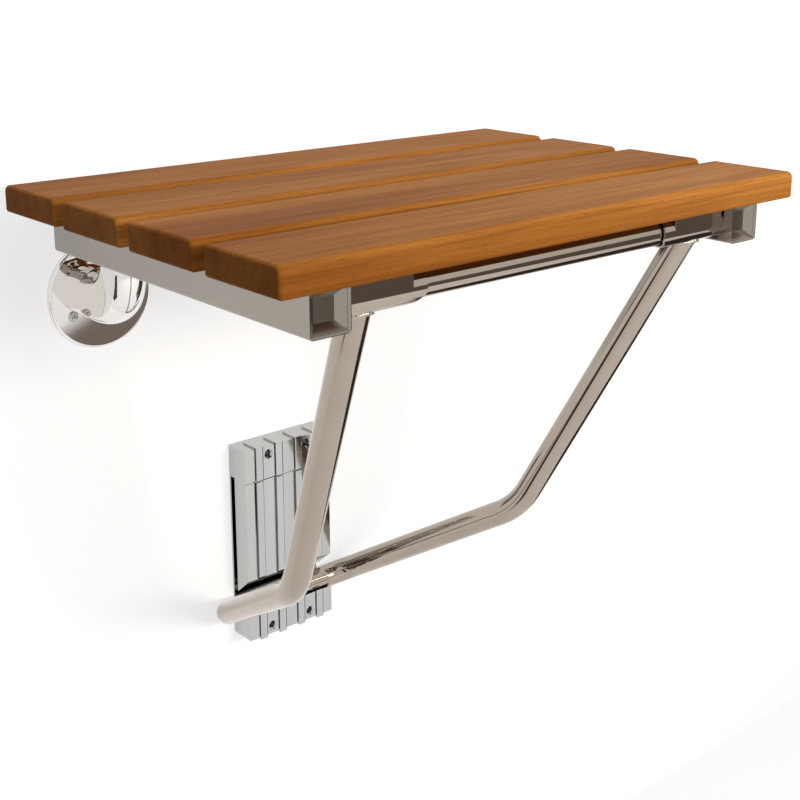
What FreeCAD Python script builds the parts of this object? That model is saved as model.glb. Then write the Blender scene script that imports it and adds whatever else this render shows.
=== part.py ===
import FreeCAD, Part
import math
import os

# Fold-down wall seat: four wooden slats on two square rails, hinged to two round wall flanges.
# A bent tube frame turns on a cross rod under the front and stands in a fluted plate on the wall.
# X runs along the seat, +Y points into the wall, Z is up.
# The origin is the centre of the fluted plate's back face, on the wall.

doc = FreeCAD.newDocument("FoldDownWallSeat")
Vector = FreeCAD.Vector

SIZES = [
    ("seat_length", 508.0, "length of every slat"),
    ("seat_top", 361.0, "sitting surface above the wall plate's centre"),
    ("seat_back", 19.0, "rear edge of the seat from the wall"),
    ("slat_width", 79.25, "width of one slat"),
    ("slat_gap", 13.0, "open gap between two slats"),
    ("slat_thick", 21.0, "thickness of a slat"),
    ("slat_round", 5.0, "rounding of the long top edges"),
    ("slat_end_round", 3.0, "rounding of the top end edges"),
    ("slat_under_round", 2.0, "rounding of the long bottom edges"),
    ("rail_size", 32.0, "outside of the square tube"),
    ("rail_wall", 2.0, "wall of the square tube"),
    ("rail_corner", 2.5, "outside corner of the square tube"),
    ("rail_overhang", 30.0, "how far a slat runs past a rail's outer face"),
    ("rail_rear", 37.0, "rear end of a rail from the wall"),
    ("rail_setback", 12.0, "rail's front end behind the seat's front edge"),
    ("plug_length", 11.0, "length of an end plug"),
    ("plug_fit", 0.15, "play of a plug or a block in the rail, each side"),
    ("mouth_lip", 0.5, "flat edge round the rail's mouth"),
    ("mouth_slope", 7.5, "width of the sloping frame inside that edge"),
    ("mouth_depth", 7.0, "how deep the panel lies in the mouth"),
    ("hinge_out", 52.0, "hinge pin from the wall"),
    ("hinge_block_length", 29.0, "steel block inside the rail's rear end"),
    ("pin_radius", 5.0, "hinge pin"),
    ("pin_head_radius", 8.5, "head of the hinge pin"),
    ("pin_head_thick", 4.0, "height of the head"),
    ("running_fit", 0.05, "radial play of a turning shaft"),
    ("press_gap", 0.02, "radial gap drawn at a pressed-in bush"),
    ("bush_wall", 2.0, "wall of the hinge bush"),
    ("washer_radius", 11.0, "hinge washer"),
    ("washer_thick", 1.0, "hinge washer"),
    ("side_play", 0.2, "play along a hinge axis"),
    ("knuckle_radius", 14.5, "eye at the top of the horn"),
    ("eye_round", 2.5, "rounded inboard edge of the eye"),
    ("knuckle_width", 30.8, "length of the eye along the pin"),
    ("horn_seat", 0.5, "how far the horn's first section stands inside the flange"),
    ("horn_root_radius", 22.0, "horn at its root"),
    ("horn_low_radius", 22.5, "horn before its bend"),
    ("horn_bend_radius", 20.0, "horn in its bend"),
    ("horn_neck_radius", 17.5, "horn above its bend"),
    ("horn_top_radius", 13.4, "horn where it ends in the eye"),
    ("horn_root_inset", 21.0, "axis at the root inboard of the rail"),
    ("horn_low_inset", 19.5, "axis before the bend inboard of the rail"),
    ("horn_bend_inset", 16.0, "axis in the bend inboard of the rail"),
    ("horn_neck_inset", 15.0, "axis above the bend inboard of the rail"),
    ("horn_top_inset", 14.5, "axis at the top inboard of the rail"),
    ("flange_inset", 21.5, "middle of a wall flange inboard of the rail"),
    ("flange_height", 259.0, "middle of a wall flange above the origin"),
    ("flange_radius", 46.0, "wall flange"),
    ("flange_thick", 5.0, "wall flange"),
    ("flange_edge", 2.0, "rounded edge of the flange"),
    ("flange_hole_circle", 30.0, "radius of the circle of flange screws"),
    ("wall_screw_radius", 2.6, "hole for a wall screw"),
    ("countersink_radius", 4.6, "mouth of a countersunk hole"),
    ("countersink_depth", 2.0, "depth of a countersink"),
    ("bolt_radius", 4.0, "bolt that holds the horn to its flange"),
    ("bolt_head_radius", 8.0, "countersunk head of that bolt"),
    ("bolt_length", 24.0, "length of that bolt"),
    ("rod_setback", 23.0, "cross rod behind the rail's front end"),
    ("rod_radius", 11.1, "cross rod"),
    ("rod_wall", 2.0, "wall of the cross rod"),
    ("sleeve_chamfer", 8.5, "slanting cut at the sleeve's lower inner end"),
    ("sleeve_radius", 13.5, "turning sleeve on the cross rod"),
    ("sleeve_length", 70.8, "length of a turning sleeve"),
    ("liner_wall", 0.95, "nylon liner between rod and sleeve"),
    ("liner_length", 14.0, "length of one liner"),
    ("tube_radius", 11.1, "leg tube"),
    ("tube_wall", 1.8, "wall of the leg tube"),
    ("leg_top_inset", 23.5, "leg's axis at the cross rod, inboard of the rail"),
    ("knee_inset", 68.0, "knee inboard of the rail"),
    ("knee_out", 203.5, "knee from the wall"),
    ("knee_height", 52.0, "knee above the origin"),
    ("knee_bend", 75.0, "bend radius at the knee"),
    ("toe_beside", 20.5, "toe bend outside the wall plate"),
    ("toe_bend", 29.0, "bend radius at the toe"),
    ("foot_height", -64.0, "foot bar above the origin"),
    ("foot_play", 0.3, "play of the foot bar in its pocket"),
    ("plate_width", 96.0, "fluted wall plate"),
    ("plate_height", 192.0, "fluted wall plate"),
    ("plate_depth", 28.0, "plate at its thickest"),
    ("plate_web", 2.0, "web of the plate behind the foot bar"),
    ("rib_pitch", 22.0, "spacing of the ribs on the plate"),
    ("rib_width", 8.0, "width of a rib"),
    ("rib_height", 1.6, "how far a rib stands out in front"),
    ("rib_round", 1.0, "rounded edges of a rib"),
    ("rib_end", 1.5, "how far a rib runs past the face's ends"),
    ("groove_width", 0.9, "groove in the face beside a rib"),
    ("groove_depth", 1.8, "how deep that groove and the crosswise one are"),
    ("plate_line", 62.0, "crosswise groove on the plate's face above the origin"),
    ("plate_line_width", 2.0, "height of that groove"),
    ("plate_step", 1.0, "how far the face below that line lies back"),
    ("mouth_angle", 41.5, "slope of the pocket's mouth"),
    ("mouth_above", 14.2, "room above the foot bar's path"),
    ("mouth_below", 12.0, "room below the foot bar's path"),
    ("gap_front", 8.0, "front of the open slit behind the plate"),
    ("gap_top", 64.0, "top of that slit above the origin"),
    ("plate_screw_radius", 3.0, "screw hole of the plate"),
    ("plate_sink_radius", 4.6, "mouth of such a hole"),
    ("plate_hole_x", 44.0, "spacing of the plate's screws along the seat"),
    ("plate_hole_edge", 9.5, "plate's screws from its top and bottom"),
    ("screw_radius", 2.2, "slat screw"),
    ("screw_head_radius", 4.4, "head of a slat screw"),
    ("screw_head_thick", 2.8, "head of a slat screw"),
    ("screw_bite", 14.0, "how far a slat screw goes into the wood"),
    ("screw_spread", 40.0, "distance between the two screws of one slat"),
    ("screw_close", 17.0, "distance between the two screws beside the block or the rod"),
    ("screw_clear", 0.6, "room between a screwdriver hole and the block or the rod"),
    ("access_radius", 5.0, "hole under a rail for the screwdriver"),
]
SLAT_COUNT = 4
FLANGE_HOLES = 3
RIB_COUNT = 4
# Round sections of the horn: name, share of the way out from the flange to the pin, share of the way up
# from the flange to the pin, and lean up from the wall's normal in degrees.
HORN_SECTIONS = [
    ("root", 0.0, 0.0, 0.0),
    ("low", 0.326, 0.015, 8.0),
    ("bend", 0.853, 0.14, 45.0),
    ("neck", 1.105, 0.51, 85.0),
    ("top", 1.02, 0.9, 98.0),
]

sheet = doc.addObject("Spreadsheet::Sheet", "Sizes")
for row, (alias, number, note) in enumerate(SIZES, start=1):
    sheet.set(f"A{row}", note)
    sheet.set(f"B{row}", str(number))
    sheet.setAlias(f"B{row}", alias)
doc.recompute()


class Size:
    """A length that carries its number together with the sheet expression behind it."""

    def __init__(self, number, text):
        self.number = number
        self.text = text

    @staticmethod
    def of(other):
        if isinstance(other, Size):
            return other
        return Size(float(other), f"({float(other)})")

    def __add__(self, other):
        other = Size.of(other)
        return Size(self.number + other.number, f"({self.text} + {other.text})")

    def __sub__(self, other):
        other = Size.of(other)
        return Size(self.number - other.number, f"({self.text} - {other.text})")

    def __mul__(self, other):
        other = Size.of(other)
        return Size(self.number * other.number, f"({self.text} * {other.text})")

    def __truediv__(self, other):
        other = Size.of(other)
        return Size(self.number / other.number, f"({self.text} / {other.text})")

    def __neg__(self):
        return Size(-self.number, f"(-1 * {self.text})")


class Sheet:
    """Every size of the sheet under its own name."""


size = Sheet()
for alias, _, _ in SIZES:
    setattr(size, alias, Size(float(sheet.get(alias)), f"Sizes.{alias}"))

# Sizes that follow from others.
zero = Size.of(0.0)
slat_bottom = size.seat_top - size.slat_thick
rail_middle = slat_bottom - size.rail_size / 2
rail_outer = size.seat_length / 2 - size.rail_overhang
rail_inner = rail_outer - size.rail_size
rail_axis = rail_outer - size.rail_size / 2
slat_pitch = size.slat_width + size.slat_gap
seat_front = size.seat_back + slat_pitch * SLAT_COUNT - size.slat_gap
rail_front = seat_front - size.rail_setback
rail_length = rail_front - size.rail_rear
rod_out = rail_front - size.rod_setback
flange_offset = rail_inner - size.flange_inset
horn_face = rail_inner - size.side_play - size.washer_thick
foot_out = size.plate_web + size.foot_play + size.tube_radius
bush_radius = size.pin_radius + size.running_fit + size.bush_wall
liner_radius = size.rod_radius + size.running_fit + size.liner_wall
sleeve_outer = rail_inner - size.side_play
sleeve_inner = sleeve_outer - size.sleeve_length

ALONG_X = FreeCAD.Rotation(Vector(0, 1, 0), 90)
ALONG_Y = FreeCAD.Rotation(Vector(1, 0, 0), -90)
AGAINST_Y = FreeCAD.Rotation(Vector(1, 0, 0), 90)
UPRIGHT = FreeCAD.Rotation()


def bind(thing, **wanted):
    """Ties properties of a feature to sheet expressions."""
    for name, length in wanted.items():
        length = Size.of(length)
        setattr(thing, name, length.number)
        thing.setExpression(name, length.text)
    return thing


def place(thing, x, y, z, turn=UPRIGHT):
    """Gives a feature its place, bound to the sheet, and its turn."""
    x, y, z = Size.of(x), Size.of(y), Size.of(z)
    thing.Placement = FreeCAD.Placement(Vector(x.number, y.number, z.number), turn)
    thing.setExpression(".Placement.Base.x", x.text)
    thing.setExpression(".Placement.Base.y", y.text)
    thing.setExpression(".Placement.Base.z", z.text)
    return thing


def block(name, width, depth, height, x, y, z, turn=UPRIGHT):
    """A box with its low corner at x, y, z."""
    made = doc.addObject("Part::Box", name)
    return place(bind(made, Length=width, Width=depth, Height=height), x, y, z, turn)


def round_bar(name, radius, length, x, y, z, turn=UPRIGHT):
    """A cylinder that starts at x, y, z and runs along its own Z, as turned."""
    made = doc.addObject("Part::Cylinder", name)
    return place(bind(made, Radius=radius, Height=length), x, y, z, turn)


def taper(name, low_radius, high_radius, length, x, y, z, turn=UPRIGHT):
    """A cone frustum that starts at x, y, z."""
    made = doc.addObject("Part::Cone", name)
    return place(bind(made, Radius1=low_radius, Radius2=high_radius, Height=length), x, y, z, turn)


def joined(name, pieces):
    made = doc.addObject("Part::MultiFuse", name)
    made.Shapes = pieces
    return made


def without(name, base, tools):
    """The base with every tool taken away."""
    made = doc.addObject("Part::Cut", name)
    made.Base = base
    made.Tool = tools[0] if len(tools) == 1 else joined(f"{name}_tools", tools)
    return made


def rounded(name, base, choose, radius):
    """Rounds the edges that choose() picks by the position of their middle."""
    doc.recompute()
    made = doc.addObject("Part::Fillet", name)
    made.Base = base
    picked = [i for i, edge in enumerate(base.Shape.Edges, start=1) if choose(edge)]
    made.Edges = [(i, radius.number, radius.number) for i in picked]
    return made


def middle(edge):
    return edge.valueAt((edge.FirstParameter + edge.LastParameter) / 2)


def mirrored(name, source):
    """The right-hand twin of a left-hand piece."""
    made = doc.addObject("Part::Mirroring", name)
    made.Source = source
    made.Normal = Vector(1, 0, 0)
    made.Base = Vector(0, 0, 0)
    return made


parts = {}


def keep(node, feature):
    feature.Label = node
    parts[node] = feature
    return feature


def keep_pair(stem, feature):
    """Keeps a left-hand piece and its mirrored twin."""
    keep(f"left_{stem}", feature)
    keep(f"right_{stem}", mirrored(f"RightOf_{stem}", feature))


def slat_rear(index):
    """Distance of a slat's rear edge from the wall."""
    return size.seat_back + slat_pitch * index


def screw_outs():
    """Distances of the slat screws from the wall: two in each slat, clear of block and rod."""
    outs = []
    for index in range(SLAT_COUNT):
        centre = slat_rear(index) + size.slat_width / 2
        outs += [centre - size.screw_spread / 2, centre + size.screw_spread / 2]
    beside = size.access_radius + size.screw_clear
    outs[0] = size.hinge_out + size.hinge_block_length / 2 + beside
    outs[1] = outs[0] + size.screw_close
    outs[-1] = rod_out - size.rod_radius - beside
    outs[-2] = outs[-1] - size.screw_close
    return outs


def slat(index):
    """One board: long edges rounded over, pilot holes for its screws from below."""
    rear = slat_rear(index)
    front = rear + size.slat_width
    board = block(
        f"SlatBoard{index}", size.seat_length, size.slat_width, size.slat_thick,
        -(size.seat_length / 2), -front, slat_bottom,
    )
    top = size.seat_top.number
    bottom = slat_bottom.number

    def long_edge_at(height):
        return lambda edge: edge.Length > size.slat_width.number + 1 and abs(middle(edge).z - height) < 0.01

    def end_edge(edge):
        spot = middle(edge)
        return abs(spot.z - top) < 0.01 and abs(abs(spot.x) - size.seat_length.number / 2) < 0.01

    eased = rounded(f"SlatTopRound{index}", board, long_edge_at(top), size.slat_round)
    eased = rounded(f"SlatUnderRound{index}", eased, long_edge_at(bottom), size.slat_under_round)
    eased = rounded(f"SlatEndRound{index}", eased, end_edge, size.slat_end_round)
    pilots = []
    for number, out in enumerate(screw_outs()[2 * index:2 * index + 2]):
        for side, x in (("Left", -rail_axis), ("Right", rail_axis)):
            pilots.append(round_bar(
                f"Pilot{side}{index}{number}", size.screw_radius, size.screw_bite, x, -out, slat_bottom,
            ))
    return without(f"Slat{index}", eased, pilots)


def rail_mouth(name):
    """Sloping frame round a sunken panel, cut into the front end of the left rail and its plug."""
    outer = size.rail_size / 2 - size.mouth_lip
    panel = outer - size.mouth_slope
    made = doc.addObject("Part::Wedge", name)
    bind(made, Xmin=-outer, Xmax=outer, Zmin=-outer, Zmax=outer, Ymin=zero, Ymax=size.mouth_depth,
         X2min=-panel, X2max=panel, Z2min=-panel, Z2max=panel)
    return place(made, -rail_axis, -rail_front, rail_middle)


def rail():
    """Left square tube with its hinge, rod and screw holes."""
    outer = block(
        "RailOuter", size.rail_size, rail_length, size.rail_size,
        -rail_outer, -rail_front, slat_bottom - size.rail_size,
    )
    eased = rounded("RailRound", outer, lambda edge: abs(edge.Length - rail_length.number) < 0.01,
                    size.rail_corner)
    bore = size.rail_size - size.rail_wall * 2
    hollow = block(
        "RailHollow", bore, rail_length + 2, bore,
        -rail_outer + size.rail_wall, -rail_front - 1, slat_bottom - size.rail_size + size.rail_wall,
    )
    into_inner_wall = -rail_outer + size.rail_size / 2
    tools = [
        hollow,
        rail_mouth("RailMouth"),
        round_bar("RailPinHole", size.pin_radius + size.running_fit, size.rail_size,
                  into_inner_wall, -size.hinge_out, rail_middle, ALONG_X),
        round_bar("RailRodHole", size.rod_radius + size.press_gap, size.rail_size,
                  into_inner_wall, -rod_out, rail_middle, ALONG_X),
    ]
    for number, out in enumerate(screw_outs()):
        tools.append(round_bar(f"RailScrewHole{number}", size.screw_radius + size.running_fit,
                               size.rail_wall * 2, -rail_axis, -out, slat_bottom - size.rail_wall * 1.5))
        tools.append(round_bar(f"RailAccess{number}", size.access_radius, size.rail_wall * 2,
                               -rail_axis, -out, slat_bottom - size.rail_size - size.rail_wall / 2))
    return without("Rail", eased, tools)


def front_plug():
    """Plug in the rail's front end, whose face carries on the mouth's slopes down to a sunken panel."""
    width = size.rail_size - size.rail_wall * 2 - size.plug_fit * 2
    body = block("PlugBody", width, size.plug_length, width, -rail_axis - width / 2, -rail_front,
                 rail_middle - width / 2)
    return without("FrontPlug", body, [rail_mouth("PlugMouth")])


def rail_screws():
    """Eight pan-head screws that hold the slats down from inside the left rail."""
    screws = []
    for number, out in enumerate(screw_outs()):
        head_top = slat_bottom - size.rail_wall
        head = round_bar(f"ScrewHead{number}", size.screw_head_radius, size.screw_head_thick,
                         -rail_axis, -out, head_top - size.screw_head_thick)
        shank = round_bar(f"ScrewShank{number}", size.screw_radius - size.press_gap,
                          size.rail_wall + size.screw_bite - 0.2, -rail_axis, -out, head_top)
        screws.append(joined(f"Screw{number}", [head, shank]))
    group = doc.addObject("Part::Compound", "RailScrews")
    group.Links = screws
    return group


def hinge_block():
    """Solid block inside the rail that the hinge pin is fixed in."""
    width = size.rail_size - size.rail_wall * 2 - size.plug_fit * 2
    body = block("HingeBlockBody", width, size.hinge_block_length, width, -rail_axis - width / 2,
                 -size.hinge_out - size.hinge_block_length / 2, rail_middle - width / 2)
    hole = round_bar("HingeBlockHole", size.pin_radius + size.press_gap, size.rail_size,
                     -rail_outer, -size.hinge_out, rail_middle, ALONG_X)
    return without("HingeBlock", body, [hole])


def hinge_pin():
    """Pin from inside the rail through the horn's eye, with a domed head on the inboard side."""
    start = -rail_outer + size.rail_wall + size.plug_fit
    head_start = -horn_face + size.knuckle_width + size.side_play
    shank = round_bar("PinShank", size.pin_radius, head_start - start, start, -size.hinge_out, rail_middle,
                      ALONG_X)
    head = round_bar("PinHead", size.pin_head_radius, size.pin_head_thick, head_start, -size.hinge_out,
                     rail_middle, ALONG_X)
    far_side = (head_start + size.pin_head_thick).number
    domed = rounded("PinDome", head, lambda edge: abs(middle(edge).x - far_side) < 0.01
                    and edge.Length > size.pin_head_radius.number * 6, size.pin_head_thick * 0.6)
    return joined("HingePin", [shank, domed])


def hinge_bush():
    """Nylon bush between the pin and the eye."""
    outer = round_bar("BushOuter", bush_radius, size.knuckle_width, -horn_face, -size.hinge_out, rail_middle,
                      ALONG_X)
    bore = round_bar("BushBore", size.pin_radius + size.running_fit, size.knuckle_width + 2,
                     -horn_face - 1, -size.hinge_out, rail_middle, ALONG_X)
    return without("HingeBush", outer, [bore])


def hinge_washer():
    """Thin washer between the horn's flat and the rail."""
    outer = round_bar("WasherOuter", size.washer_radius, size.washer_thick, -horn_face - size.washer_thick,
                      -size.hinge_out, rail_middle, ALONG_X)
    bore = round_bar("WasherBore", size.pin_radius + size.running_fit, size.washer_thick + 2,
                     -horn_face - size.washer_thick - 1, -size.hinge_out, rail_middle, ALONG_X)
    return without("HingeWasher", outer, [bore])


def wall_flange():
    """Round disc on the wall with three countersunk screw holes and a bolt hole in the middle."""
    disc = round_bar("FlangeDisc", size.flange_radius, size.flange_thick,
                     -flange_offset, zero, size.flange_height, AGAINST_Y)
    front = -size.flange_thick.number
    eased = rounded("FlangeRound", disc, lambda edge: abs(middle(edge).y - front) < 0.01
                    and edge.Length > size.flange_radius.number * 6, size.flange_edge)
    tools = []
    for number in range(FLANGE_HOLES):
        angle = math.radians(90 + 360 / FLANGE_HOLES * number)
        x = -flange_offset + size.flange_hole_circle * math.cos(angle)
        z = size.flange_height + size.flange_hole_circle * math.sin(angle)
        tools.append(round_bar(f"FlangeHole{number}", size.wall_screw_radius, size.flange_thick + 2,
                               x, Size.of(1.0), z, AGAINST_Y))
        tools.append(taper(f"FlangeSink{number}", size.countersink_radius, size.wall_screw_radius,
                           size.countersink_depth, x, -size.flange_thick, z, ALONG_Y))
    tools.append(round_bar("FlangeBoltHole", size.bolt_radius + size.press_gap, size.flange_thick + 2,
                           -flange_offset, Size.of(1.0), size.flange_height, AGAINST_Y))
    tools.append(taper("FlangeBoltSink", size.bolt_head_radius, size.bolt_radius,
                       size.bolt_head_radius - size.bolt_radius, -flange_offset, zero,
                       size.flange_height, AGAINST_Y))
    return without("WallFlange", eased, tools)


def horn_section(name, out_share, up_share, lean):
    """One round section of the horn."""
    made = doc.addObject("Part::Circle", f"HornSection_{name}")
    bind(made, Radius=getattr(size, f"horn_{name}_radius"))
    root = size.flange_thick - size.horn_seat
    out = root + (size.hinge_out - root) * out_share
    up = (rail_middle - size.flange_height) * up_share
    return place(made, -(rail_inner - getattr(size, f"horn_{name}_inset")), -out, size.flange_height + up,
                 FreeCAD.Rotation(Vector(1, 0, 0), 90 - lean))


def hinge_horn():
    """Polished horn that grows out of the flange, turns up beside the rail and ends in the eye."""
    loft = doc.addObject("Part::Loft", "HornLoft")
    loft.Sections = [horn_section(*section) for section in HORN_SECTIONS]
    loft.Solid = True
    loft.Ruled = False
    eye = round_bar("HornEye", size.knuckle_radius, size.knuckle_width, -horn_face, -size.hinge_out,
                    rail_middle, ALONG_X)
    inboard = (-horn_face + size.knuckle_width).number
    eye = rounded("HornEyeRound", eye, lambda edge: abs(middle(edge).x - inboard) < 0.01
                  and edge.Length > size.knuckle_radius.number * 6, size.eye_round)
    whole = joined("HornWhole", [loft, eye])
    reach = size.flange_radius * 4
    outboard = block("HornFlat", reach, reach, reach, -horn_face - reach, -reach + size.flange_thick,
                     size.flange_height - reach / 2)
    behind = block("HornBack", reach, reach, reach, -flange_offset - reach / 2, -size.flange_thick,
                   size.flange_height - reach / 2)
    bore = round_bar("HornBore", bush_radius + size.press_gap, size.knuckle_width * 2,
                     -horn_face - size.knuckle_width / 2, -size.hinge_out, rail_middle, ALONG_X)
    socket = round_bar("HornSocket", size.bolt_radius + size.press_gap, size.bolt_length + 0.5,
                       -flange_offset, zero, size.flange_height, AGAINST_Y)
    return without("HingeHorn", whole, [outboard, behind, bore, socket])


def horn_bolt():
    """Countersunk bolt from the flange's back into the horn."""
    sink = size.bolt_head_radius - size.bolt_radius
    head = taper("BoltHead", size.bolt_head_radius - size.press_gap, size.bolt_radius - size.press_gap, sink,
                 -flange_offset, zero, size.flange_height, AGAINST_Y)
    shank = round_bar("BoltShank", size.bolt_radius - size.press_gap, size.bolt_length - sink,
                      -flange_offset, -sink, size.flange_height, AGAINST_Y)
    return joined("HornBolt", [head, shank])


def cross_rod():
    """Tube from rail to rail that carries the leg frame."""
    end = rail_outer - size.rail_wall - size.plug_fit
    outer = round_bar("RodOuter", size.rod_radius, end * 2, -end, -rod_out, rail_middle, ALONG_X)
    bore = round_bar("RodBore", size.rod_radius - size.rod_wall, end * 2 + 2, -end - 1, -rod_out,
                     rail_middle, ALONG_X)
    return without("CrossRod", outer, [bore])


def turning_sleeve():
    """Left sleeve on the rod, its inner end cut off at a slant towards the leg."""
    length = sleeve_outer - sleeve_inner
    outer = round_bar("SleeveOuter", size.sleeve_radius, length, -sleeve_outer, -rod_out, rail_middle,
                      ALONG_X)
    bore = round_bar("SleeveBore", liner_radius + size.press_gap, length + 2, -sleeve_outer - 1,
                     -rod_out, rail_middle, ALONG_X)
    reach = size.sleeve_radius * 2
    slant = reach * math.sqrt(0.5)
    lower = block("SleeveLower", reach, reach * 2, reach * 2, -sleeve_inner - slant,
                  -rod_out - reach, rail_middle - size.sleeve_radius + size.sleeve_chamfer - slant,
                  FreeCAD.Rotation(Vector(0, 1, 0), 45))
    return without("TurningSleeve", outer, [bore, lower])


def sleeve_liners():
    """Two nylon liners, one in each end of a sleeve."""
    liners = []
    for number, start in enumerate((-sleeve_outer, -sleeve_inner - size.liner_length * 2)):
        outer = round_bar(f"LinerOuter{number}", liner_radius, size.liner_length, start, -rod_out,
                          rail_middle, ALONG_X)
        bore = round_bar(f"LinerBore{number}", size.rod_radius + size.running_fit, size.liner_length + 2,
                         start - 1, -rod_out, rail_middle, ALONG_X)
        liners.append(without(f"Liner{number}", outer, [bore]))
    group = doc.addObject("Part::Compound", "SleeveLiners")
    group.Links = liners
    return group


def bent_path(points, radii):
    """Straight runs joined by tangent arcs, one arc radius for each inner point."""
    edges = []
    start = points[0]
    for before, corner, after, radius in zip(points, points[1:], points[2:], radii):
        to_before = (before - corner).normalize()
        to_after = (after - corner).normalize()
        half = to_before.getAngle(to_after) / 2
        along = radius / math.tan(half)
        first = corner + to_before * along
        last = corner + to_after * along
        inward = (to_before + to_after).normalize()
        centre = corner + inward * (radius / math.sin(half))
        top = centre - inward * radius
        edges.append(Part.LineSegment(start, first).toShape())
        edges.append(Part.Arc(first, top, last).toShape())
        start = last
    edges.append(Part.LineSegment(start, points[-1]).toShape())
    return Part.Wire(edges)


def leg_tube():
    """One bent tube: down from the left sleeve, in to the wall, across and back up to the right."""
    height = rail_middle.number
    knee = Vector((rail_inner - size.knee_inset).number, -size.knee_out.number, size.knee_height.number)
    toe = Vector((size.plate_width / 2 + size.toe_beside).number, -foot_out.number, size.foot_height.number)
    top = Vector((rail_inner - size.leg_top_inset).number, -rod_out.number, height)
    left = [Vector(-p.x, p.y, p.z) for p in (top, knee, toe)]
    points = left + [toe, knee, top]
    bends = [size.knee_bend.number, size.toe_bend.number, size.toe_bend.number, size.knee_bend.number]
    path = bent_path(points, bends)
    start = path.OrderedVertexes[0].Point
    direction = points[1] - points[0]

    def swept(radius):
        ring = Part.Wire(Part.Circle(start, direction, radius).toShape())
        return path.makePipeShell([ring], True, False)

    solid = swept(size.tube_radius.number).cut(
        swept(size.tube_radius.number - size.tube_wall.number))
    # The open ends are coped to sit on the outside of the sleeves.
    saddle = Part.makeCylinder(size.sleeve_radius.number, size.seat_length.number,
                               Vector(-size.seat_length.number / 2, -rod_out.number, height),
                               Vector(1, 0, 0))
    coped = solid.cut(saddle)
    body = max(coped.Solids, key=lambda piece: piece.Volume)
    made = doc.addObject("Part::Feature", "LegTube")
    made.Shape = body
    made.Placement = FreeCAD.Placement()
    return made


def plate_ribs():
    """Upright ribs on the plate's face, running a little past its ends."""
    ribs = []
    length = size.plate_height
    front = (-size.plate_depth).number
    for number in range(RIB_COUNT):
        centre = size.rib_pitch * (number - (RIB_COUNT - 1) / 2)
        bar = block(f"RibBar{number}", size.rib_width, size.plate_depth - size.gap_front, length,
                    centre - size.rib_width / 2, -size.plate_depth, -(length / 2))
        ribs.append(rounded(f"Rib{number}", bar, lambda edge: abs(edge.Length - length.number) < 0.01
                            and abs(middle(edge).y - front) < 0.01, size.rib_round))
    return ribs


def wall_plate():
    """Ribbed plate with a slit behind it and a pocket below that the foot bar stands in."""
    half_width = size.plate_width / 2
    half_height = size.plate_height / 2
    face = size.plate_depth - size.rib_height
    inner_half = half_height - size.rib_end
    body = block("PlateBody", size.plate_width, face, inner_half * 2, -half_width, -face, -inner_half)
    across = size.plate_width + 2
    edge = -half_width - 1
    # The face below the crosswise line lies back, down to the mouth of the pocket.
    step = block("PlateStep", across, size.plate_step * 2, size.plate_line + half_height / 2, edge,
                 -face - size.plate_step, -(half_height / 2))
    stepped = without("PlateStepped", body, [step])
    solid = joined("PlateSolid", [stepped] + plate_ribs())
    tools = [
        block("PlateLine", across, size.groove_depth * 3, size.plate_line_width, edge,
              -face - size.groove_depth * 2, size.plate_line),
        block("Slit", across, size.gap_front - size.plate_web, size.gap_top - size.foot_height, edge,
              -size.gap_front, size.foot_height),
        round_bar("Pocket", size.tube_radius + size.foot_play, across, edge, -foot_out, size.foot_height,
                  ALONG_X),
    ]
    for number in range(RIB_COUNT):
        centre = size.rib_pitch * (number - (RIB_COUNT - 1) / 2)
        starts = (centre - size.rib_width / 2 - size.groove_width, centre + size.rib_width / 2)
        for start, side in zip(starts, ("Left", "Right")):
            tools.append(block(f"Groove{side}{number}", size.groove_width, size.groove_depth * 3,
                               size.plate_height + 2, start, -face - size.groove_depth * 2,
                               -half_height - 1))
    # The mouth follows the foot bar's path: up and away from the wall.
    angle = math.radians(size.mouth_angle.number)
    run = size.plate_depth * 2
    drop = size.mouth_below
    tools.append(block("Mouth", across, run, size.mouth_below + size.mouth_above, edge,
                       -foot_out - run * math.cos(angle) - drop * math.sin(angle),
                       size.foot_height + run * math.sin(angle) - drop * math.cos(angle),
                       FreeCAD.Rotation(Vector(1, 0, 0), -size.mouth_angle.number)))
    for x, side in ((-(size.plate_hole_x / 2), "Left"), (size.plate_hole_x / 2, "Right")):
        rise = half_height - size.plate_hole_edge
        for z, level in ((-rise, "Low"), (rise, "High")):
            tools.append(round_bar(f"PlateHole{level}{side}", size.plate_screw_radius, size.plate_depth * 2,
                                   x, size.gap_front, z, AGAINST_Y))
            tools.append(taper(f"PlateSink{level}{side}", size.plate_sink_radius, size.plate_screw_radius,
                               size.plate_sink_radius - size.plate_screw_radius, x, -face, z, ALONG_Y))
    return without("WallPlate", solid, tools)


for index in range(SLAT_COUNT):
    keep(f"slat_{index + 1}", slat(index))
keep_pair("rail", rail())
keep_pair("front_plug", front_plug())
keep_pair("slat_screws", rail_screws())
keep_pair("hinge_block", hinge_block())
keep_pair("hinge_pin", hinge_pin())
keep_pair("hinge_bush", hinge_bush())
keep_pair("hinge_washer", hinge_washer())
keep_pair("wall_flange", wall_flange())
keep_pair("hinge_horn", hinge_horn())
keep_pair("horn_bolt", horn_bolt())
keep("cross_rod", cross_rod())
keep_pair("turning_sleeve", turning_sleeve())
keep_pair("sleeve_liners", sleeve_liners())
keep("leg_tube", leg_tube())
keep("wall_plate", wall_plate())

doc.recompute()
for thing in doc.Objects:
    broken = {"Invalid", "Error"} & set(thing.State)
    if broken:
        raise RuntimeError(f"{thing.Label}: {sorted(broken)}")
for node, feature in parts.items():
    if feature.Shape.isNull() or not feature.Shape.isValid() or feature.Shape.Volume <= 0:
        raise RuntimeError(f"{node} has no valid solid")

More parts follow.
